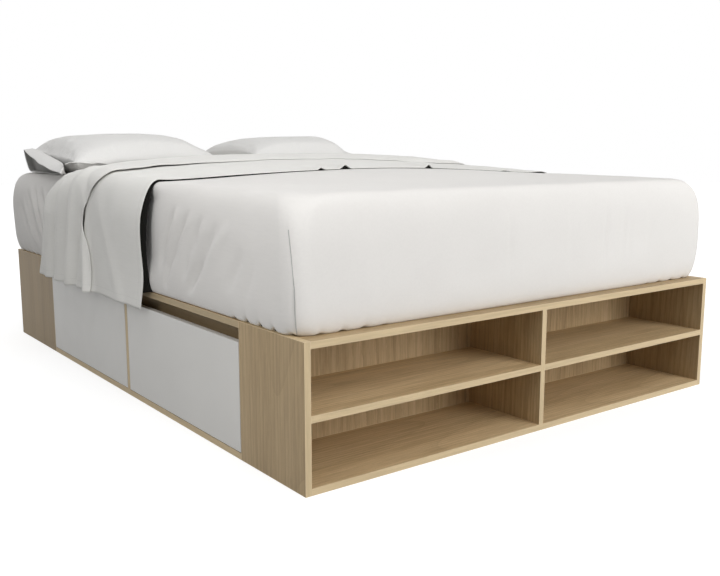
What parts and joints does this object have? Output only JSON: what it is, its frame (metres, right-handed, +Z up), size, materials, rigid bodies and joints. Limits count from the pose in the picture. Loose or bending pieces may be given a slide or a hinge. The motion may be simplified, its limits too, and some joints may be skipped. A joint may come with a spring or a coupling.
{
  "type": "tatami platform bed",
  "caption": "Low wooden platform bed with an open shelf unit at the foot, full-extension side drawers with finger gaps, and a made-up mattress.",
  "frame": {"origin": "middle of the frame's footprint on the floor", "axes": "+X to the right seen from the foot, +Y towards the head, +Z up"},
  "size_m": [1.4832, 1.97, 0.7329],
  "materials": {
    "oak_veneer": "pale oak grain, matt",
    "white_melamine": "white satin board",
    "birch_board": "clear lacquered birch",
    "dowel_wood": "plain beech",
    "zinc_steel": "zinc plated",
    "fitted_sheet": "white cotton, stretched",
    "pillowcase": "white cotton",
    "top_sheet_cloth": "white cotton, draped"
  },
  "bodies": {
    "frame": {"foot_side_left": "oak_veneer", "foot_side_right": "oak_veneer", "foot_top": "oak_veneer", "foot_bottom": "oak_veneer", "foot_back": "oak_veneer", "foot_divider": "oak_veneer", "foot_shelf_left": "oak_veneer", "foot_shelf_right": "oak_veneer", "foot_dowels": "dowel_wood", "head_side_left": "oak_veneer", "head_side_right": "oak_veneer", "head_top": "oak_veneer", "head_bottom": "oak_veneer", "head_front": "oak_veneer", "head_end": "oak_veneer", "head_dowels": "dowel_wood", "bay_bottom_foot": "oak_veneer", "bay_bottom_head": "oak_veneer", "bay_divider": "oak_veneer", "spine_foot": "oak_veneer", "spine_head": "oak_veneer", "rail_left_foot": "oak_veneer", "rail_left_head": "oak_veneer", "rail_right_foot": "oak_veneer", "rail_right_head": "oak_veneer", "deck_foot": "oak_veneer", "deck_head": "oak_veneer", "deck_cleats": "oak_veneer", "bay_dowels": "dowel_wood", "runner_channels_left": "zinc_steel", "runner_channels_right": "zinc_steel", "mattress": "fitted_sheet", "pillow_left": "pillowcase", "pillow_right": "pillowcase", "top_sheet": "top_sheet_cloth"},
    "left_foot_drawer": {"left_foot_front": "white_melamine", "left_foot_box_sides": "birch_board", "left_foot_box_ends": "birch_board", "left_foot_tray": "birch_board", "left_foot_runner_slide": "zinc_steel"},
    "left_foot_runner": {"left_foot_runner_middle": "zinc_steel"},
    "left_head_drawer": {"left_head_front": "white_melamine", "left_head_box_sides": "birch_board", "left_head_box_ends": "birch_board", "left_head_tray": "birch_board", "left_head_runner_slide": "zinc_steel"},
    "left_head_runner": {"left_head_runner_middle": "zinc_steel"},
    "right_foot_drawer": {"right_foot_front": "white_melamine", "right_foot_box_sides": "birch_board", "right_foot_box_ends": "birch_board", "right_foot_tray": "birch_board", "right_foot_runner_slide": "zinc_steel"},
    "right_foot_runner": {"right_foot_runner_middle": "zinc_steel"},
    "right_head_drawer": {"right_head_front": "white_melamine", "right_head_box_sides": "birch_board", "right_head_box_ends": "birch_board", "right_head_tray": "birch_board", "right_head_runner_slide": "zinc_steel"},
    "right_head_runner": {"right_head_runner_middle": "zinc_steel"}
  },
  "joints": [
    {"name": "left_foot_drawer_slide", "type": "slide", "parent": "frame", "child": "left_foot_drawer", "axis": [-1, 0, 0], "range_m": [0, 0.55]},
    {"name": "left_foot_runner_extension", "type": "slide", "parent": "frame", "child": "left_foot_runner", "axis": [-1, 0, 0], "range_m": [0, 0.275]},
    {"name": "left_head_drawer_slide", "type": "slide", "parent": "frame", "child": "left_head_drawer", "axis": [-1, 0, 0], "range_m": [0, 0.55]},
    {"name": "left_head_runner_extension", "type": "slide", "parent": "frame", "child": "left_head_runner", "axis": [-1, 0, 0], "range_m": [0, 0.275]},
    {"name": "right_foot_drawer_slide", "type": "slide", "parent": "frame", "child": "right_foot_drawer", "axis": [1, 0, 0], "range_m": [0, 0.55]},
    {"name": "right_foot_runner_extension", "type": "slide", "parent": "frame", "child": "right_foot_runner", "axis": [1, 0, 0], "range_m": [0, 0.275]},
    {"name": "right_head_drawer_slide", "type": "slide", "parent": "frame", "child": "right_head_drawer", "axis": [1, 0, 0], "range_m": [0, 0.55]},
    {"name": "right_head_runner_extension", "type": "slide", "parent": "frame", "child": "right_head_runner", "axis": [1, 0, 0], "range_m": [0, 0.275]}
  ],
  "couplings": [
    {"joint": "left_foot_runner_extension", "follows": "left_foot_drawer_slide", "ratio": 0.5},
    {"joint": "left_head_runner_extension", "follows": "left_head_drawer_slide", "ratio": 0.5},
    {"joint": "right_foot_runner_extension", "follows": "right_foot_drawer_slide", "ratio": 0.5},
    {"joint": "right_head_runner_extension", "follows": "right_head_drawer_slide", "ratio": 0.5}
  ]
}
